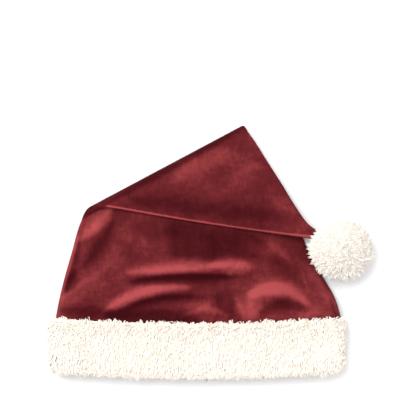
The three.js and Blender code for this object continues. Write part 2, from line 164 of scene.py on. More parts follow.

# Painted highlights and shade along arcs, standing in for how light falls on the velvet's folds: layer,
# ends (shares), bend, widths on the left and the right of the arc (metres), strength (below 0 for shade).
PAINTED_LIGHT_STROKES = [
    ("front", -0.305, 0.581, -0.41, 0.414, 0.05, 0.006, 0.009, 0.82),
    ("front", -0.421, 0.429, -0.477, 0.136, 0.0, 0.0016, 0.003, 0.5),
    ("front", -0.417, 0.393, -0.463, 0.147, 0.0, 0.0045, 0.0045, -0.45),
    ("front", -0.301, 0.503, -0.41, 0.262, 0.05, 0.0075, 0.0065, -0.62),
    ("front", -0.305, 0.283, -0.474, 0.11, 0.0, 0.0045, 0.004, 0.28),
    ("front", -0.431, 0.241, -0.477, 0.136, 0.0, 0.0075, 0.0065, -0.65),
    ("front", -0.245, 0.238, 0.097, 0.277, 0.0, 0.0066, 0.0048, 0.76),
    ("front", 0.048, 0.277, 0.185, 0.262, 0.07, 0.007, 0.006, 0.72),
    ("front", -0.234, 0.191, 0.111, 0.215, 0.02, 0.004, 0.0078, -0.8),
    ("front", 0.055, 0.199, 0.132, 0.0, -0.08, 0.009, 0.009, -0.42),
    ("front", -0.343, 0.021, -0.033, 0.162, 0.1, 0.0056, 0.0048, 0.9),
    ("front", -0.319, -0.016, 0.019, 0.11, 0.085, 0.0045, 0.008, -0.55),
    ("front", -0.305, 0.016, -0.002, -0.01, 0.0, 0.0075, 0.0075, -0.85),
    ("front", -0.481, 0.042, -0.294, 0.021, 0.0, 0.008, 0.0085, -0.7),
    ("front", 0.181, -0.01, 0.195, 0.141, 0.03, 0.008, 0.0085, 0.68),
    ("front", 0.132, 0.11, 0.167, -0.01, 0.0, 0.0028, 0.0028, 0.35),
    ("front", 0.178, 0.126, 0.386, 0.073, 0.17, 0.0065, 0.0085, 0.85),
    ("front", 0.224, 0.168, 0.329, 0.162, 0.08, 0.0035, 0.0045, 0.25),
    ("front", 0.188, 0.131, 0.273, 0.147, 0.0, 0.0085, 0.0085, 0.25),
    ("front", 0.224, 0.037, 0.368, 0.058, 0.16, 0.005, 0.0085, -0.62),
    ("front", 0.343, 0.005, 0.428, 0.037, 0.0, 0.0035, 0.0035, 0.3),
    ("front", 0.452, 0.147, 0.488, 0.026, 0.06, 0.0012, 0.002, 0.35),
    ("front", 0.347, 0.314, 0.474, 0.042, 0.06, 0.0045, 0.0055, 0.3),
    ("front", 0.361, 0.262, 0.386, 0.126, 0.0, 0.0012, 0.0012, 0.28),
    ("front", 0.202, 0.44, 0.322, 0.293, 0.04, 0.005, 0.005, 0.26),
    ("front", 0.224, 0.325, 0.361, 0.178, 0.06, 0.0075, 0.0075, -0.36),
    ("front", -0.22, 0.471, 0.241, 0.398, 0.0, 0.015, 0.015, -0.62),
    ("front", -0.1, 0.34, 0.21, 0.319, 0.0, 0.011, 0.006, -0.5),
    ("front", -0.044, 0.021, 0.097, 0.016, 0.12, 0.004, 0.004, 0.45),
    ("front", -0.002, 0.047, 0.048, 0.084, 0.0, 0.005, 0.005, 0.3),
    ("front", 0.051, 0.126, 0.086, 0.178, 0.0, 0.004, 0.004, 0.22),
    ("front", 0.055, 0.162, 0.083, 0.005, 0.0, 0.0013, 0.0013, -0.3),
    ("front", 0.097, 0.157, 0.129, 0.005, 0.0, 0.0035, 0.0035, -0.25),
    ("front", 0.46, 0.099, 0.481, 0.016, 0.0, 0.0011, 0.0011, -0.3),
    ("front", 0.118, 0.262, 0.107, 0.204, 0.0, 0.0022, 0.0022, 0.3),
    ("front", -0.283, 0.419, -0.206, 0.293, 0.0, 0.012, 0.012, -0.22),
    ("front", -0.086, 0.503, -0.079, 0.314, 0.0, 0.0035, 0.0035, -0.22),
    ("front", -0.136, 0.503, -0.121, 0.356, 0.0, 0.005, 0.005, 0.18),
    ("front", -0.009, 0.471, -0.005, 0.325, 0.0, 0.004, 0.004, 0.14),
    ("front", 0.044, 0.45, 0.058, 0.325, 0.0, 0.0055, 0.0055, -0.18),
    ("front", -0.178, 0.031, -0.03, 0.037, 0.0, 0.0045, 0.0045, -0.45),
    ("front", -0.354, 0.031, -0.262, 0.026, 0.0, 0.004, 0.004, -0.35),
    ("flap", -0.079, 0.723, 0.111, 0.864, 0.04, 0.013, 0.015, 0.42),
    ("flap", 0.093, 0.827, 0.21, 0.775, 0.0, 0.014, 0.014, 0.2),
    ("flap", 0.252, 0.634, 0.336, 0.555, 0.0, 0.009, 0.009, 0.30),
    ("flap", -0.227, 0.618, 0.287, 0.529, 0.0, 0.011, 0.01, -0.5),
    ("flap", -0.333, 0.586, 0.15, 0.995, 0.0, 0.0045, 0.0045, -0.35),
    ("flap", 0.097, 0.597, 0.238, 0.702, 0.0, 0.011, 0.011, -0.12),
]


def between(values, at):
    """A table's column at fractional rows, smooth and never past the rows on either side."""
    values = np.asarray(values, float)
    rise = np.diff(values)
    slope = np.zeros(len(values))
    before, after = rise[:-1], rise[1:]
    least = np.minimum(np.minimum(abs(before), abs(after)), abs(before + after) / 4)
    slope[1:-1] = np.where(before * after > 0, 2 * np.sign(before) * least, 0)
    slope[0], slope[-1] = rise[0], rise[-1]
    row = np.clip(np.floor(at).astype(int), 0, len(values) - 2)
    t = at - row
    start, end, step = slope[row], slope[row + 1], rise[row]
    return values[row] + t * (start + t * (3 * step - 2 * start - end + t * (start + end - 2 * step)))


def finer(rows, steps):
    """Columns of a list of sections, with more sections between them."""
    at = np.linspace(0, len(rows) - 1, steps + 1)
    return {name: between([row[name] for row in rows], at) for name in rows[0]}


def ends(row):
    """A table row's ends in metres, from the middle of the brim's top edge."""
    return {
        "lx": row[0] * CROWN_WIDTH, "ly": row[1] * CROWN_HEIGHT,
        "rx": row[2] * CROWN_WIDTH, "ry": row[3] * CROWN_HEIGHT,
    }


def fold_section(turn):
    """The section that has turned by an angle round the fold."""
    edge = CLOTH + CREASE_ROOM * MOUTH_ROOM
    radius = edge + FOLD_ROOM
    line = ends(CREASE)
    along = np.array([line["rx"] - line["lx"], line["ry"] - line["ly"]])
    along /= np.linalg.norm(along)
    inward = np.array([along[1], -along[0]]) * (edge + radius * (1 - math.sin(turn)))
    roll = along * CREASE_ROLL * CROWN_WIDTH * (turn / math.pi) ** CREASE_ROLL_SHAPE
    return {
        "lx": line["lx"] + roll[0] + inward[0], "ly": line["ly"] + roll[1] + inward[1],
        "rx": line["rx"] + inward[0], "ry": line["ry"] + inward[1],
        "sag": 0, "lift": radius * (1 - math.cos(turn)), "edge": edge, "front": 0, "back": 0, "turn": turn,
    }


def body_sections(steps):
    """The body from the brim to the fold."""
    rows = []
    for row in BODY_ROWS:
        rows.append({
            **ends(row), "sag": row[4] * MOUTH_SAG, "lift": row[5] * BACK_PILE,
            "edge": CLOTH + row[6] * MOUTH_ROOM, "front": row[7] * DOME_HEIGHT, "back": 0, "turn": 0,
        })
    rows.append(fold_section(0))
    return finer(rows, steps)


def joined(*groups):
    """Several groups of sections in one."""
    return {name: np.concatenate([g[name] for g in groups]) for name in groups[0]}


def part_of(sections, chosen):
    """Some of a group's sections."""
    return {name: column[chosen] for name, column in sections.items()}


# Points across a section: how many, and how much they crowd towards its ends
HALF_AROUND = 140
SQUARED = 0.6
share_across = np.linspace(0, 1, HALF_AROUND + 1)
across_front = (1 - SQUARED) * (2 * share_across - 1) - SQUARED * np.cos(math.pi * share_across)
# Where each point of a section lies between its ends (-1 to 1), and whether it is on the front
PLACES = np.concatenate([across_front[:-1], -across_front[:-1]])
ON_FRONT = np.arange(2 * HALF_AROUND) < HALF_AROUND


def loops(sections, inset):
    """The points round each section, moved in by an inset: across its front from the left, and back."""
    left = np.stack([sections["lx"], sections["ly"]], 1)
    right = np.stack([sections["rx"], sections["ry"]], 1)
    across = right - left
    width = np.linalg.norm(across, axis=1)
    across /= width[:, None]
    half = (width / 2 - inset)[:, None]
    edge = (sections["edge"] - inset)[:, None]
    place = PLACES[None, :]
    on_front = ON_FRONT[None, :]
    roll = np.minimum(1, (1 - abs(place)) * half / edge)
    dome = 1 - abs(place) ** DOME_SHAPE
    bulge = edge * np.sqrt(np.maximum(0, 1 - (1 - roll) ** 2))
    bulge = bulge + dome * np.where(on_front, sections["front"][:, None], sections["back"][:, None])
    bulge = np.where(on_front, bulge, -bulge)
    turn = sections["turn"][:, None]
    middle = (left + right) / 2
    x = middle[:, :1] + across[:, :1] * place * half + across[:, 1:] * np.sin(turn) * bulge
    y = middle[:, 1:] + across[:, 1:] * place * half - across[:, :1] * np.sin(turn) * bulge
    y = y - sections["sag"][:, None] * (1 - place * place)
    z = (sections["lift"] + sections["edge"])[:, None] + np.cos(turn) * bulge
    facing = np.where(on_front, np.cos(turn), -np.cos(turn))
    return np.stack([x, y, z], 2), np.maximum(0, facing) ** 2 * np.broadcast_to(dome, x.shape)


ARC_POINTS = 48


def arc_field(points, row):
    """How far points lie from an arc, on which side of it, and where along it (0 to 1)."""
    start = np.array([row[0] * CROWN_WIDTH, row[1] * CROWN_HEIGHT])
    end = np.array([row[2] * CROWN_WIDTH, row[3] * CROWN_HEIGHT])
    chord = end - start
    top = (start + end) / 2 + np.array([-chord[1], chord[0]]) * 2 * row[4]
    t = np.linspace(0, 1, ARC_POINTS)[:, None]
    arc = (1 - t) ** 2 * start + 2 * t * (1 - t) * top + t ** 2 * end
    far = np.full(points.shape[0], np.inf)
    side = np.zeros(points.shape[0])
    at = np.zeros(points.shape[0])
    for i in range(ARC_POINTS - 1):
        step = arc[i + 1] - arc[i]
        rel = points - arc[i]
        share = np.clip(rel @ step / (step @ step), 0, 1)
        off = rel - share[:, None] * step
        distance = np.hypot(off[:, 0], off[:, 1])
        nearer = distance < far
        far[nearer] = distance[nearer]
        side[nearer] = (step[0] * rel[:, 1] - step[1] * rel[:, 0])[nearer]
        at[nearer] = (i + share[nearer]) / (ARC_POINTS - 1)
    return far, side, at


def relief(layer, points):
    """How high the folds of a layer stand at points of the plan."""
    height = np.zeros(points.shape[0])
    for name, *row in FOLDS:
        if name != layer:
            continue
        far, side, at = arc_field(points, row[:5])
        width = np.where(side > 0, row[5], row[6])
        taper = np.sqrt(np.maximum(0, 4 * at * (1 - at)))
        height += row[7] * taper * np.exp(-((far / width) ** 2))
    if layer == "front":
        height += pucker_relief(points)
    return height


def pucker_relief(points):
    """Small gathers where the velvet is sewn into the brim."""
    height = np.zeros(points.shape[0])
    places = (np.arange(PUCKERS) + 0.5) / PUCKERS - 0.5 + pucker_draws[:, 0] * PUCKER_STRAY
    for place, draw in zip(places, pucker_draws):
        foot = np.array([place * CROWN_WIDTH * PUCKER_SPAN, -MOUTH_SAG])
        rel = points - foot
        across = rel[:, 0] - draw[1] * PUCKER_LEAN * rel[:, 1]
        tall = PUCKER_HEIGHT[0] + PUCKER_HEIGHT[1] * draw[2]
        reach = PUCKER_REACH[0] + PUCKER_REACH[1] * draw[2]
        width = PUCKER_WIDTH[0] + PUCKER_WIDTH[1] * draw[0]
        fade = np.exp(-((np.maximum(0, rel[:, 1]) / reach) ** 2))
        height += tall * fade * np.exp(-((across / width) ** 2))
    return height


def painted_stroke_light(layer, points):
    """The strokes' painted highlight (above 0) and painted shade (below 0) at points of the plan, about 0
    away from them.
    """
    value = np.zeros(points.shape[0])
    for name, *row in PAINTED_LIGHT_STROKES:
        if name != layer:
            continue
        far, side, at = arc_field(points, row[:5])
        body = np.sin(math.pi * at)
        width = np.where(side > 0, row[5], row[6]) * (STROKE_WIDTH[0] + STROKE_WIDTH[1] * body)
        strength = row[7] * (STROKE_STRENGTH[0] + STROKE_STRENGTH[1] * np.sqrt(body))
        value += strength * np.exp(-((far / width) ** 2))
    return value


def grid_faces(rows, around, closed=True):
    """Quads between neighbouring rows of points."""
    count = around if closed else around - 1
    row, place = np.meshgrid(np.arange(rows - 1), np.arange(count), indexing="ij")
    one = row * around + place
    other = row * around + (place + 1) % around
    return np.stack([one, other, other + around, one + around], 2).reshape(-1, 4)


def cap_faces(start, around, centre, turned=False):
    """Triangles from a ring of points to its centre, with their outside turned over if asked."""
    one = np.arange(around)
    other = (one + 1) % around
    pair = (other, one) if turned else (one, other)
    return np.stack([start + pair[0], start + pair[1], np.full(around, centre)], 1)


def new_object(name, points, faces, material, normals=None):
    """A mesh object that rides on the hat's one body."""
    mesh = bpy.data.meshes.new(name)
    faces = [np.asarray(group) for group in faces]
    sizes = np.concatenate([np.full(len(group), group.shape[1]) for group in faces])
    corners = np.concatenate([group.reshape(-1) for group in faces]).astype(np.int32)
    mesh.vertices.add(len(points))
    mesh.vertices.foreach_set("co", np.asarray(points, np.float32).reshape(-1))
    mesh.loops.add(len(corners))
    mesh.loops.foreach_set("vertex_index", corners)
    mesh.polygons.add(len(sizes))
    mesh.polygons.foreach_set("loop_start", np.concatenate([[0], np.cumsum(sizes)[:-1]]).astype(np.int32))
    mesh.polygons.foreach_set("use_smooth", np.ones(len(sizes), bool))
    mesh.update(calc_edges=True)
    if normals is not None:
        mesh.normals_split_custom_set_from_vertices(normals.tolist())
    mesh.materials.append(material)
    obj = bpy.data.objects.new(name, mesh)
    bpy.context.scene.collection.objects.link(obj)
    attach(obj, "root")
    return obj


def in_frame(points):
    """From the tables' origin to the row's frame."""
    return points + np.array([SEAM_X, SEAM_Y, 0])


# Camera and light

FRAME_WIDTH = 0.42
SENSOR_WIDTH = 36
CAMERA_HEIGHT = 4.0
CAMERA_REACH = 20
VIEW_X = -0.0005
VIEW_Y = 0.0417
WORLD_STRENGTH = 1.17
FLOOR_HALF = 6.0
FLOOR_DROP = 0.0004
# Name, energy, angle across (degrees), direction
LIGHTS = [
    ("key", 2.3, 26, (0.26, -0.27, -1.0)),
    ("fill", 0.3, 80, (-0.55, 0.50, -0.75)),
]


def make_camera():
    data = bpy.data.cameras.new("camera")
    data.sensor_width = SENSOR_WIDTH
    data.lens = SENSOR_WIDTH * CAMERA_HEIGHT / FRAME_WIDTH
    data.clip_end = CAMERA_REACH
    camera = bpy.data.objects.new("camera", data)
    camera.location = (VIEW_X, VIEW_Y, CAMERA_HEIGHT)
    bpy.context.scene.collection.objects.link(camera)
    bpy.context.scene.camera = camera


def make_light():
    for name, energy, angle, direction in LIGHTS:
        sun = bpy.data.lights.new(name, "SUN")
        sun.energy = energy
        sun.angle = math.radians(angle)
        light = bpy.data.objects.new(name, sun)
        light.rotation_euler = Vector(direction).to_track_quat("-Z", "Y").to_euler()
        bpy.context.scene.collection.objects.link(light)
    world = bpy.data.worlds.new("studio")
    world.use_nodes = True
    background = world.node_tree.nodes["Background"]
    background.inputs["Color"].default_value = (1, 1, 1, 1)
    background.inputs["Strength"].default_value = WORLD_STRENGTH
    bpy.context.scene.world = world
    bpy.context.scene.view_settings.view_transform = "Standard"


def make_floor(material):
    mesh = bpy.data.meshes.new("floor")
    corners = [(x * FLOOR_HALF, y * FLOOR_HALF, 0) for x, y in ((-1, -1), (1, -1), (1, 1), (-1, 1))]
    mesh.from_pydata(corners, [], [(0, 1, 2, 3)])
    mesh.materials.append(material)
    floor = bpy.data.objects.new("floor", mesh)
    floor.location.z = -FLOOR_DROP
    bpy.context.scene.collection.objects.link(floor)


# Materials


def node_material(name):
    material = bpy.data.materials.new(name)
    material.use_nodes = True
    tree = material.node_tree
    return material, tree, tree.nodes["Principled BSDF"]


def object_place(tree):
    return tree.nodes.new("ShaderNodeTexCoord").outputs["Object"]


def noise_node(tree, place, scale, detail, roughness):
    node = tree.nodes.new("ShaderNodeTexNoise")
    node.inputs["Scale"].default_value = scale
    node.inputs["Detail"].default_value = detail
    node.inputs["Roughness"].default_value = roughness
    tree.links.new(place, node.inputs["Vector"])
    return node.outputs["Fac"]


def stretched(tree, place, scale):
    node = tree.nodes.new("ShaderNodeVectorMath")
    node.operation = "MULTIPLY"
    node.inputs[1].default_value = scale
    tree.links.new(place, node.inputs[0])
    return node.outputs["Vector"]


def math_node(tree, operation, first, second, third=None):
    node = tree.nodes.new("ShaderNodeMath")
    node.operation = operation
    for socket, value in zip(node.inputs, (first, second, third)):
        if value is None:
            continue
        if isinstance(value, (int, float)):
            socket.default_value = value
        else:
            tree.links.new(value, socket)
    return node.outputs[0]


def noise_layers(tree, table, value):
    """Adds a table's noises, each round its middle, to a value. Gives the sum and the noises by name."""
    place = object_place(tree)
    layers = {}
    for name, (scale, stretch, detail, share) in table.items():
        spot = stretched(tree, place, stretch)
        layers[name] = noise_node(tree, spot, scale, detail, CLOTH_NOISE_ROUGHNESS)
        centred = math_node(tree, "SUBTRACT", layers[name], 0.5)
        value = math_node(tree, "MULTIPLY_ADD", centred, share, value)
    return value, layers


def ramp_node(tree, factor, stops):
    node = tree.nodes.new("ShaderNodeValToRGB")
    ramp = node.color_ramp
    while len(ramp.elements) < len(stops):
        ramp.elements.new(0.5)
    for element, (position, color) in zip(ramp.elements, stops):
        element.position = position
        element.color = (*color, 1)
    tree.links.new(factor, node.inputs["Fac"])
    return node.outputs["Color"]


def bump_node(tree, shader, height, distance, strength):
    node = tree.nodes.new("ShaderNodeBump")
    node.inputs["Distance"].default_value = distance
    node.inputs["Strength"].default_value = strength
    tree.links.new(height, node.inputs["Height"])
    tree.links.new(node.outputs["Normal"], shader.inputs["Normal"])


# The velvet's colour from painted shade (0) to painted highlight (1), set by the painted light and the
# noises
VELVET_STOPS = [
    (0.0, (0.028, 0.0018, 0.0030)),
    (0.25, (0.048, 0.0038, 0.0057)),
    (0.5, (0.090, 0.0100, 0.0124)),
    (0.75, (0.177, 0.0255, 0.0282)),
    (1.0, (0.280, 0.0455, 0.0495)),
]
# Light and shade of each plush
BRIM_COLORS = ((0.895, 0.820, 0.738), (0.880, 0.795, 0.695))
POMPOM_COLORS = ((0.880, 0.828, 0.762), (0.862, 0.798, 0.718))
CLOTH_NOISE_ROUGHNESS = 0.6
# Noises in the cloths' colour: scale, stretch, detail, share
VELVET_NOISES = {
    "broad": (28, (1, 1, 1), 4, 0.50),
    "mottle": (170, (1, 1, 1), 3, 0.24),
    "brushed": (420, (1, 0.25, 1), 3, 0.24),
    "combed": (330, (0.3, 1, 1), 3, 0.20),
    "pile": (2600, (1, 1, 1), 2, 0.10),
}
PLUSH_NOISES = {
    "clumps": (240, (1, 0.3, 1), 3, 0.65),
    "fibres": (1500, (1, 1, 1), 2, 0.35),
}
# Where the plush's colour is its shade, and where it is its light
PLUSH_RAMP = (0.3, 0.62)
# Roughness where the noise is 0, and what it adds
VELVET_ROUGHNESS = (0.56, 0.12)
PLUSH_ROUGHNESS = (0.85, 0.1)
# Depth (metres) and strength of the bumps
VELVET_BUMP = (0.0002, 0.45)
PLUSH_BUMP = (0.0003, 0.5)
FLOOR_STOPS = [(0.0, (0.78, 0.78, 0.78)), (1.0, (0.80, 0.80, 0.80))]
FLOOR_NOISE = (3, 3, 0.5)


def velvet_material():
    """Burgundy velvet: painted highlights and shade from the painted_light attribute, a short dense pile,
    and sheen where it curves away.
    """
    material, tree, shader = node_material("velvet")
    # The painted highlights and shade, read from the crown's points
    painted_light = tree.nodes.new("ShaderNodeAttribute")
    painted_light.attribute_name = "painted_light"
    value, layers = noise_layers(tree, VELVET_NOISES, painted_light.outputs["Fac"])
    tree.links.new(ramp_node(tree, value, VELVET_STOPS), shader.inputs["Base Color"])
    rough = math_node(tree, "MULTIPLY_ADD", layers["mottle"], VELVET_ROUGHNESS[1], VELVET_ROUGHNESS[0])
    tree.links.new(rough, shader.inputs["Roughness"])
    shader.inputs["Specular IOR Level"].default_value = 0.02
    shader.inputs["Sheen Weight"].default_value = 0.22
    shader.inputs["Sheen Roughness"].default_value = 0.35
    shader.inputs["Sheen Tint"].default_value = (0.80, 0.12, 0.14, 1)
    bump_node(tree, shader, layers["pile"], *VELVET_BUMP)
    return material


def plush_material(name, light, shade):
    """Off-white plush yarn, a little creamier in its depths, with fine fibres."""
    material, tree, shader = node_material(name)
    value, layers = noise_layers(tree, PLUSH_NOISES, 0.5)
    colors = ramp_node(tree, value, list(zip(PLUSH_RAMP, (shade, light))))
    tree.links.new(colors, shader.inputs["Base Color"])
    rough = math_node(tree, "MULTIPLY_ADD", layers["fibres"], PLUSH_ROUGHNESS[1], PLUSH_ROUGHNESS[0])
    tree.links.new(rough, shader.inputs["Roughness"])
    shader.inputs["Specular IOR Level"].default_value = 0.15
    shader.inputs["Sheen Weight"].default_value = 0.25
    shader.inputs["Sheen Roughness"].default_value = 0.5
    bump_node(tree, shader, layers["fibres"], *PLUSH_BUMP)
    return material


def floor_material():
    material, tree, shader = node_material("floor")
    grain = noise_node(tree, object_place(tree), *FLOOR_NOISE)
    tree.links.new(ramp_node(tree, grain, FLOOR_STOPS), shader.inputs["Base Color"])
    shader.inputs["Roughness"].default_value = 0.9
    shader.inputs["Specular IOR Level"].default_value = 0.0
    return material


# The velvet crown

BODY_STEPS = 132
FOLD_STEPS = 16
FLAP_STEPS = 84
# The inside has one section for this many outside
HOLLOW_SHARE = 4
# The front is felt for under every so many points of the folded tip, from this height
PROBE_STEP = 4
PROBE_HEIGHT = 0.2
# Slow unevenness of the cloth: scale, a slice of the noise, height
WANDER_SCALE = 55
WANDER_SLICE = 3.7
WANDER_HEIGHT = 0.0007


def flap_sections(front):
    """The folded tip, each section carried by the front that it lies on."""
    start = fold_section(math.pi)
    rows = [{**start, "toTip": 0.0}]
    for row in FLAP_ROWS:
        rows.append({
            **ends(row), "sag": 0, "lift": start["lift"], "edge": CLOTH + row[4] * MOUTH_ROOM, "front": 0,
            "back": row[5] * FLAP_HEIGHT, "turn": math.pi, "toTip": row[6],
        })
    flap = part_of(finer(rows, FLAP_STEPS), slice(1, None))
    flat = {**flap, "lift": -flap["edge"]}
    under = loops(flat, 0)[0][:, :HALF_AROUND]
    front_faces = grid_faces(front.shape[0], front.shape[1], closed=False)
    tree = BVHTree.FromPolygons(front.reshape(-1, 3).tolist(), front_faces.tolist())
    carried = start["lift"] + start["edge"]
    tip_height = TIP_RISE * POMPOM.z
    for i, row in enumerate(under):
        for x, y, z in row[::PROBE_STEP]:
            place = tree.ray_cast(Vector((x, y, PROBE_HEIGHT)), Vector((0, 0, -1)))[0]
            if place is not None:
                carried = max(carried, place.z + LAYER_GAP - z)
        flap["lift"][i] = carried + (tip_height - carried) * flap["toTip"][i] - flap["edge"][i]
    return {name: flap[name] for name in start}


def plug_section(tip):
    """The gathered end of the tip, inside the pompom."""
    centre = np.array(POMPOM) - np.array([SEAM_X, SEAM_Y, 0])
    middle = np.array([(tip["lx"] + tip["rx"]) / 2, (tip["ly"] + tip["ry"]) / 2, tip["lift"] + tip["edge"]])
    on = centre - middle
    on *= PLUG_DEPTH / np.linalg.norm(on)
    near, far = (1 + PLUG_TAPER) / 2, (1 - PLUG_TAPER) / 2
    plug = dict(tip)
    plug["lx"] = near * tip["lx"] + far * tip["rx"] + on[0]
    plug["ly"] = near * tip["ly"] + far * tip["ry"] + on[1]
    plug["rx"] = near * tip["rx"] + far * tip["lx"] + on[0]
    plug["ry"] = near * tip["ry"] + far * tip["ly"] + on[1]
    plug["edge"] = tip["edge"] * PLUG_TAPER
    plug["lift"] = tip["lift"] + on[2] + tip["edge"] - plug["edge"]
    return {name: np.array([value]) for name, value in plug.items()}


def creased(points, weight):
    """Raises the folds on the sides that face up: the body's front, and the top of the folded tip."""
    rows, around, _ = points.shape
    front = np.tile(ON_FRONT, rows)
    flat = points.reshape(-1, 3)
    plan = flat[:, :2]
    lifted = weight.reshape(-1)
    for layer, side in (("front", front), ("flap", ~front)):
        chosen = side & (lifted > 0)
        flat[chosen, 2] += lifted[chosen] * relief(layer, plan[chosen])
        at = plan[chosen] * WANDER_SCALE
        wander = [noise.noise(Vector((x, y, WANDER_SLICE))) for x, y in at]
        flat[chosen, 2] += WANDER_HEIGHT * lifted[chosen] * np.array(wander)
    return flat.reshape(rows, around, 3)


def crown_painted_light(points, sections):
    """The painted light at each point: strokes of painted highlight and shade, painted light where the cloth
    tilts to the upper left, painted shade on the rolled fold, and a painted highlight on the edges.
    """
    rows, around, _ = points.shape
    width = np.hypot(sections["rx"] - sections["lx"], sections["ry"] - sections["ly"])
    from_left = (width / 2)[:, None] * (1 + PLACES)[None, :]
    turns = [0, ROLL_FROM, EDGE_LIGHT_FROM, ROLL_TO]
    strength = np.interp(sections["turn"], turns, [BODY_EDGE_LIGHT, 0, 0, EDGE_LIGHT])[:, None]
    # A painted highlight along the edges of the folded tip and of the body
    edge_light = strength * np.exp(-(((from_left - EDGE_LIGHT_AT) / EDGE_LIGHT_WIDTH) ** 2))
    along = np.gradient(points, axis=0)
    round_it = (np.roll(points, -1, 1) - np.roll(points, 1, 1)) / 2
    normal = np.cross(round_it, along)
    normal /= np.linalg.norm(normal, axis=2)[..., None] + TINY
    # Painted light where the cloth tilts towards the light's side, and painted shade on the rolled fold
    tilt = normal @ np.array(LIGHT_SIDE)
    rolled = (sections["turn"] > ROLL_FROM) & (sections["turn"] < ROLL_TO)
    tilt[rolled] = ROLLED_PAINTED_SHADE * np.sin(sections["turn"][rolled])[:, None]
    front = np.tile(ON_FRONT, rows)
    plan = points.reshape(-1, 3)[:, :2]
    up = normal.reshape(-1, 3)[:, 2] > FACES_UP
    value = np.zeros(rows * around)
    for layer, side in (("front", front), ("flap", ~front)):
        chosen = side & up
        value[chosen] = painted_stroke_light(layer, plan[chosen])
    return PAINTED_LIGHT_LEVEL + PAINTED_STROKE_STRENGTH * value + PAINTED_TILT_LIGHT * tilt.reshape(-1) + edge_light.reshape(-1)


def make_crown(material):
    body = body_sections(BODY_STEPS)
    rim = part_of(body, slice(0, 1))
    rim = {**rim, "ly": rim["ly"] - TUCK, "ry": rim["ry"] - TUCK}
    body_points, body_weight = loops(body, 0)
    body_points = creased(body_points, body_weight)
    turns = [fold_section(math.pi * (i + 1) / FOLD_STEPS) for i in range(FOLD_STEPS)]
    folds = {name: np.array([turn[name] for turn in turns]) for name in turns[0]}
    flap = flap_sections(body_points[:, : HALF_AROUND + 1])
    tip = {name: column[-1] for name, column in flap.items()}
    outer = joined(rim, body, folds, flap, plug_section(tip))
    outside, weight = loops(outer, 0)
    outside = creased(outside, weight)
    coarse = np.r_[0, 1 : len(outer["lx"]) - 2 : HOLLOW_SHARE]
    inner = part_of(outer, coarse)
    inside, inner_weight = loops(inner, CLOTH)
    inside = creased(inside, inner_weight)[::-1]
    points = np.concatenate([inside, outside])
    rows, around, _ = points.shape
    flat = points.reshape(-1, 3)
    caps = np.stack([inside[0].mean(0), outside[-1].mean(0)])
    faces = [
        grid_faces(rows, around),
        cap_faces(0, around, rows * around, turned=True),
        cap_faces((rows - 1) * around, around, rows * around + 1),
    ]
    everything = in_frame(np.concatenate([flat, caps]))
    crown = new_object("crown_velvet", everything, faces, material)
    painted_light = np.concatenate([
        np.full(inside.shape[0] * around, INSIDE_LEVEL),
        crown_painted_light(outside, outer),
        np.full(2, INSIDE_LEVEL),
    ])
    # The painted highlights and shade, kept on the crown's points for the velvet's colour
    attribute = crown.data.attributes.new("painted_light", "FLOAT", "POINT")
    attribute.data.foreach_set("value", painted_light.astype(np.float32))
    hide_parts("crown")
    return crown


# Plush: tufts of tapered strands

FLOOR_GAP = 0.0003
# How far a strand's shading turns with its own roundness, and how far the pile's turns upwards
STRAND_ROUND = 0.12
UPLIFT = 1.6
# Half the thickness at a strand's base and at its middle
STRAND_SHARES = (0.5, 0.42)
# A strand whose axis is steeper than this takes another helper direction
STEEP = 0.8
STRAND_LENGTHS = (0.78, 1.08)
STRAND_THICKNESSES = (0.75, 1.25)
# Where a strand's middle is, how far it spreads, and how much of the curl it has
MIDDLE_AT = 0.55
MIDDLE_SPREAD = 0.35
MIDDLE_CURL = 0.5
# A strand's own curl, as a share of its tuft's
OWN_CURL = 0.5
STRAND_FACES = np.array([
    [0, 2, 1], [0, 1, 4], [0, 4, 3], [1, 2, 5], [1, 5, 4],
    [2, 0, 3], [2, 3, 5], [3, 4, 6], [4, 5, 6], [5, 3, 6],
])
STRAND_POINTS = 7


def unit(vectors):
    return vectors / (np.linalg.norm(vectors, axis=1)[:, None] + TINY)


def lit(facing):
    """Directions turned a little upwards, as light spreads through the pile."""
    return unit(facing + np.array([0, 0, UPLIFT]) * np.clip(facing[:, 2:] + 1, 0, 1))


def strands(base, middle, tip, thick, facing):
    """Closed three-sided strands, from base over middle to tip, shaded as the pile that they make."""
    count = len(base)
    axis = unit(tip - base)
    helper = np.where(abs(axis[:, 2:]) < STEEP, [[0.0, 0.0, 1.0]], [[1.0, 0.0, 0.0]])
    side = unit(np.cross(axis, helper))
    other = np.cross(axis, side)
    spin = rng.uniform(0, 2 * math.pi, count)
    rings, normals = [], []
    for centre, share in zip((base, middle), STRAND_SHARES):
        for corner in range(3):
            angle = spin + corner * 2 * math.pi / 3
            out = np.cos(angle)[:, None] * side + np.sin(angle)[:, None] * other
            rings.append(centre + out * (thick * share)[:, None])
            normals.append(unit(facing + STRAND_ROUND * out))
    points = np.stack([*rings, tip], 1)
    normals = np.stack([*normals, facing], 1)
    faces = (np.arange(count) * STRAND_POINTS)[:, None, None] + STRAND_FACES[None]
    points = points.reshape(-1, 3)
    points[:, 2] = np.maximum(points[:, 2], FLOOR_GAP)
    return points, faces.reshape(-1, 3), normals.reshape(-1, 3)


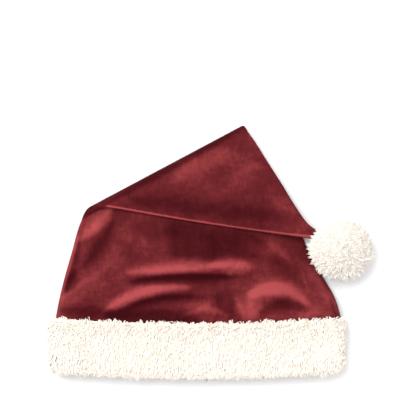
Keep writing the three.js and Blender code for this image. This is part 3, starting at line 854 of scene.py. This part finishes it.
def tufted(roots, out, facing, length, count, spread, gather, thick, curl):
    """Tufts of strands: each rooted round a place, drawn together towards its tip."""
    number = len(roots)
    strand_roots = np.repeat(roots, count, 0)
    direction = np.repeat(out, count, 0)
    reach = np.repeat(length, count) * rng.uniform(*STRAND_LENGTHS, number * count)
    scatter = rng.normal(0, 1, (number * count, 3))
    scatter -= (scatter * direction).sum(1)[:, None] * direction
    base = strand_roots + scatter * spread
    tips = strand_roots + direction * reach[:, None] + scatter * spread * gather
    swirl = np.repeat(rng.normal(0, 1, (number, 3)), count, 0)
    swirl = swirl + OWN_CURL * rng.normal(0, 1, (number * count, 3))
    swirl -= (swirl * direction).sum(1)[:, None] * direction
    middle = base + MIDDLE_AT * (tips - base)
    middle = middle + scatter * spread * MIDDLE_SPREAD + swirl * curl * MIDDLE_CURL
    tips = tips + swirl * curl
    thickness = thick * rng.uniform(*STRAND_THICKNESSES, number * count)
    return strands(base, middle, tips, thickness, np.repeat(facing, count, 0))


# How far ahead along the rim its direction is taken
LOOK_AHEAD = 0.0006


def rim_curve():
    """A function that gives places round the velvet's rim with their outward directions, and its girth."""
    rim = part_of(body_sections(1), slice(0, 1))
    points = loops(rim, 0)[0][0]
    closed = np.concatenate([points, points[:1]])
    steps = np.hypot(np.diff(closed[:, 0]), np.diff(closed[:, 2]))
    length = np.concatenate([[0], np.cumsum(steps)])

    def at(share):
        here = (share % 1.0) * length[-1]
        x, y, z = (np.interp(here, length, closed[:, i]) for i in range(3))
        ahead = (here + LOOK_AHEAD) % length[-1]
        dx = np.interp(ahead, length, closed[:, 0]) - x
        dz = np.interp(ahead, length, closed[:, 2]) - z
        size = np.hypot(dx, dz) + TINY
        return x, y, z, -dz / size, dx / size

    return at, length[-1]


# The band's section, from its top edge outside, round the hem, to its top edge inside: out from the
# velvet's outside (metres), up as a share of BRIM_HEIGHT.
BAND_ROWS = [
    (0.0004, -0.01), (0.0020, 0.0), (0.0036, -0.05), (0.0043, -0.2), (0.0045, -0.45), (0.0042, -0.74),
    (0.0026, -0.87), (-0.0012, -0.905), (-0.0040, -0.86), (-0.0049, -0.75), (-0.0049, -0.45),
    (-0.0047, -0.08), (-0.0030, -0.03), (-0.0019, -0.04),
]
# How thick the band and its pile are, by how far they face left (-1) or right (1)
BAND_ENDS = ([-1, -0.5, 0.5, 1], [1.25, 1.0, 1.0, 0.45])
# From the hem up to the bottom of the slot for the velvet
FOLD_DEPTH = 0.008
BAND_STEPS = 52
BAND_AROUND = 300


def band_point(at, share, out, up):
    """A point of the band: round the rim by share, out from the velvet, up from the brim's top edge."""
    x, y, z, nx, nz = at(share)
    out = np.where(out > 0, out * np.interp(nx, *BAND_ENDS), out)
    points = np.stack([x + nx * out, y + up, np.maximum(z + nz * out, FLOOR_GAP)], -1)
    return points, np.stack([nx, 0 * nx, nz], -1)


def band_row(at):
    """The band's section at fractional rows: out from the velvet, and up, in metres."""
    out = between([row[0] for row in BAND_ROWS], at)
    up = between([row[1] for row in BAND_ROWS], at) * BRIM_HEIGHT
    return out, up


def make_band(at, material):
    """The plush's ground: a strip folded double, with the velvet's edge tucked between its sides."""
    out, up = band_row(np.linspace(0, len(BAND_ROWS) - 1, BAND_STEPS))
    slot_out = np.array([-CLOTH - SEAT, SEAT])
    slot_up = np.array([-BRIM_HEIGHT + FOLD_DEPTH] * 2)
    out = np.concatenate([out, slot_out])
    up = np.concatenate([up, slot_up])
    profile = len(out)
    share = np.repeat(np.arange(BAND_AROUND) / BAND_AROUND, profile)
    points, _ = band_point(at, share, np.tile(out, BAND_AROUND), np.tile(up, BAND_AROUND))
    place, row = np.meshgrid(np.arange(BAND_AROUND), np.arange(profile), indexing="ij")
    next_place = (place + 1) % BAND_AROUND
    next_row = (row + 1) % profile
    corners = [(place, row), (place, next_row), (next_place, next_row), (next_place, row)]
    faces = np.stack([across * profile + along for across, along in corners], 2).reshape(-1, 4)
    band = new_object("brim_band", in_frame(points), [faces], material)
    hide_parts("brim")
    return band


PILE_ROWS = 24
PILE_TUFTS = 232
FRONT_STRANDS = 7
BACK_STRANDS = 5
PILE_LENGTH = 0.0062
PILE_LENGTHS = (0.68, 1.18)
# How far a tuft strays from its place, round the band and down it, as shares of the spacing
STRAY_ROUND = 0.33
STRAY_DOWN = 0.36
# The rows of BAND_ROWS that the pile stands on: the first, and how many on from there
PILE_FROM = 1.7
PILE_SPAN = 6.3
ROOT_DEPTH = 0.0006
SLOPE_STEP = 0.05
PILE_STAND = 0.62
PILE_SCATTER = 0.15
# A tuft's spread, how far its strands stay apart at the tip, their thickness and their curl
BRIM_STRANDS = (0.0015, 0.35, 0.00115, 0.0003)
# Ragged edges and the pile's lean, by the share of the way from the top edge round the hem
RAGGED = ([0, 0.08, 0.78, 0.88], [1, 0, 0, 1])
RAGGED_LENGTHS = (-0.35, 0.5)
PILE_LEAN = ([0, 0.06, 0.2, 0.6, 0.85, 1.0], [0.40, 0.05, -0.6, -0.85, -0.9, -0.8])


def make_pile(name, at, side, strands_each, material):
    """The brim's tufts on one side of the hat, from the top edge round to the hem."""
    rows, columns = np.meshgrid(np.arange(PILE_ROWS), np.arange(PILE_TUFTS), indexing="ij")
    rows, columns = rows.reshape(-1), columns.reshape(-1)
    share = (columns + 0.5 * (rows % 2) + rng.uniform(-STRAY_ROUND, STRAY_ROUND, len(rows))) / PILE_TUFTS
    down = (rows + 0.5 + rng.uniform(-STRAY_DOWN, STRAY_DOWN, len(rows))) / PILE_ROWS
    chosen = (share % 1.0 < 0.5) if side == "front" else (share % 1.0 >= 0.5)
    share, down = share[chosen], down[chosen]
    at_row = PILE_FROM + down * PILE_SPAN
    out, up = band_row(at_row)
    roots, normal = band_point(at, share, out - ROOT_DEPTH, up)
    ahead, ahead_up = band_row(at_row + SLOPE_STEP)
    slope = np.stack([ahead - out, ahead_up - up], 1)
    slope /= np.linalg.norm(slope, axis=1)[:, None]
    outward = unit(normal * (-slope[:, 1])[:, None] + np.stack([0 * out, slope[:, 0], 0 * out], 1))
    lean = np.interp(down, *PILE_LEAN)[:, None] * np.array([[0.0, 1.0, 0.0]])
    direction = PILE_STAND * outward + lean + rng.normal(0, PILE_SCATTER, (len(out), 3))
    length = PILE_LENGTH * rng.uniform(*PILE_LENGTHS, len(out)) * np.interp(normal[:, 0], *BAND_ENDS)
    length *= 1 + np.interp(down, *RAGGED) * rng.uniform(*RAGGED_LENGTHS, len(out))
    direction = unit(direction)
    points, faces, normals = tufted(roots, direction, lit(outward), length, strands_each, *BRIM_STRANDS)
    pile = new_object(name, in_frame(points), [faces], material, normals)
    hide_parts("brim")
    return pile


# The pompom

CORE_SHARE = 0.84
CORE_RINGS = 48
CORE_AROUND = 96
CORE_BUMP_SCALE = 6.0
CORE_BUMPS = 0.03
# How far the tufts reach, as a share of the radius: the least, what a draw adds, and how rare a long one is
POMPOM_REACH = (0.955, 0.11)
LONG_TUFTS = 2.5
# How much longer the tufts are that face the hat
TOWARDS_HAT = 0.35
POMPOM_TUFTS = 950
TUFT_STRANDS = 19
TUFT_ROOTS = 0.1
TUFT_STRAY = 0.02
TUFT_LEAN = 0.07
POMPOM_STRANDS = (0.0015, 0.14, 0.0010, 0.0003)


def sphere_directions(count):
    """Evenly spread directions, on a spiral."""
    step = np.arange(count) + 0.5
    polar = np.arccos(1 - 2 * step / count)
    turn = math.pi * (1 + math.sqrt(5)) * step
    return np.stack([np.cos(turn) * np.sin(polar), np.sin(turn) * np.sin(polar), np.cos(polar)], 1)


def make_pompom(material):
    """A tied core under radial tufts, pressed flat where it rests."""
    centre = np.array(POMPOM)
    polar = np.linspace(0, math.pi, CORE_RINGS + 2)[1:-1]
    turn = np.arange(CORE_AROUND) * 2 * math.pi / CORE_AROUND
    polar, turn = np.meshgrid(polar, turn, indexing="ij")
    ball = np.stack([np.sin(polar) * np.cos(turn), np.sin(polar) * np.sin(turn), np.cos(polar)], 2)
    ball = ball.reshape(-1, 3)
    bumps = np.array([noise.noise(Vector(v) * CORE_BUMP_SCALE) for v in ball.tolist()])
    core = centre + ball * (POMPOM_RADIUS * (CORE_SHARE + CORE_BUMPS * bumps))[:, None]
    poles = centre + np.array([[0, 0, 1.0], [0, 0, -1.0]]) * POMPOM_RADIUS * CORE_SHARE
    total = CORE_RINGS * CORE_AROUND
    faces = [
        grid_faces(CORE_RINGS, CORE_AROUND)[:, ::-1],
        cap_faces(0, CORE_AROUND, total),
        cap_faces(total - CORE_AROUND, CORE_AROUND, total + 1, turned=True),
    ]
    core_points = np.concatenate([core, poles])
    core_points[:, 2] = np.maximum(core_points[:, 2], FLOOR_GAP)
    body = new_object("pompom_core", core_points, faces, material)
    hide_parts("pompom")
    out = unit(sphere_directions(POMPOM_TUFTS) + rng.normal(0, TUFT_STRAY, (POMPOM_TUFTS, 3)))
    roots = centre + out * POMPOM_RADIUS * (CORE_SHARE - TUFT_ROOTS)
    lean = unit(out + rng.normal(0, TUFT_LEAN, out.shape))
    longer = 1 + TOWARDS_HAT * np.maximum(0, -out[:, 0]) ** 2
    reach = POMPOM_REACH[0] + POMPOM_REACH[1] * rng.random(POMPOM_TUFTS) ** LONG_TUFTS
    length = POMPOM_RADIUS * (reach + TUFT_ROOTS - CORE_SHARE) * longer
    points, faces, normals = tufted(roots, lean, lit(out), length, TUFT_STRANDS, *POMPOM_STRANDS)
    tufts = new_object("pompom_tufts", points, [faces], material, normals)
    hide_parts("pompom")


make_camera()
make_light()
make_floor(floor_material())

velvet = velvet_material()
brim_plush = plush_material("brim_plush", *BRIM_COLORS)
pompom_plush = plush_material("pompom_plush", *POMPOM_COLORS)

crown = make_crown(velvet)
rim_at, girth = rim_curve()
band = make_band(rim_at, brim_plush)
pile_front = make_pile("brim_pile_front", rim_at, "front", FRONT_STRANDS, brim_plush)
pile_back = make_pile("brim_pile_back", rim_at, "back", BACK_STRANDS, brim_plush)
make_pompom(pompom_plush)
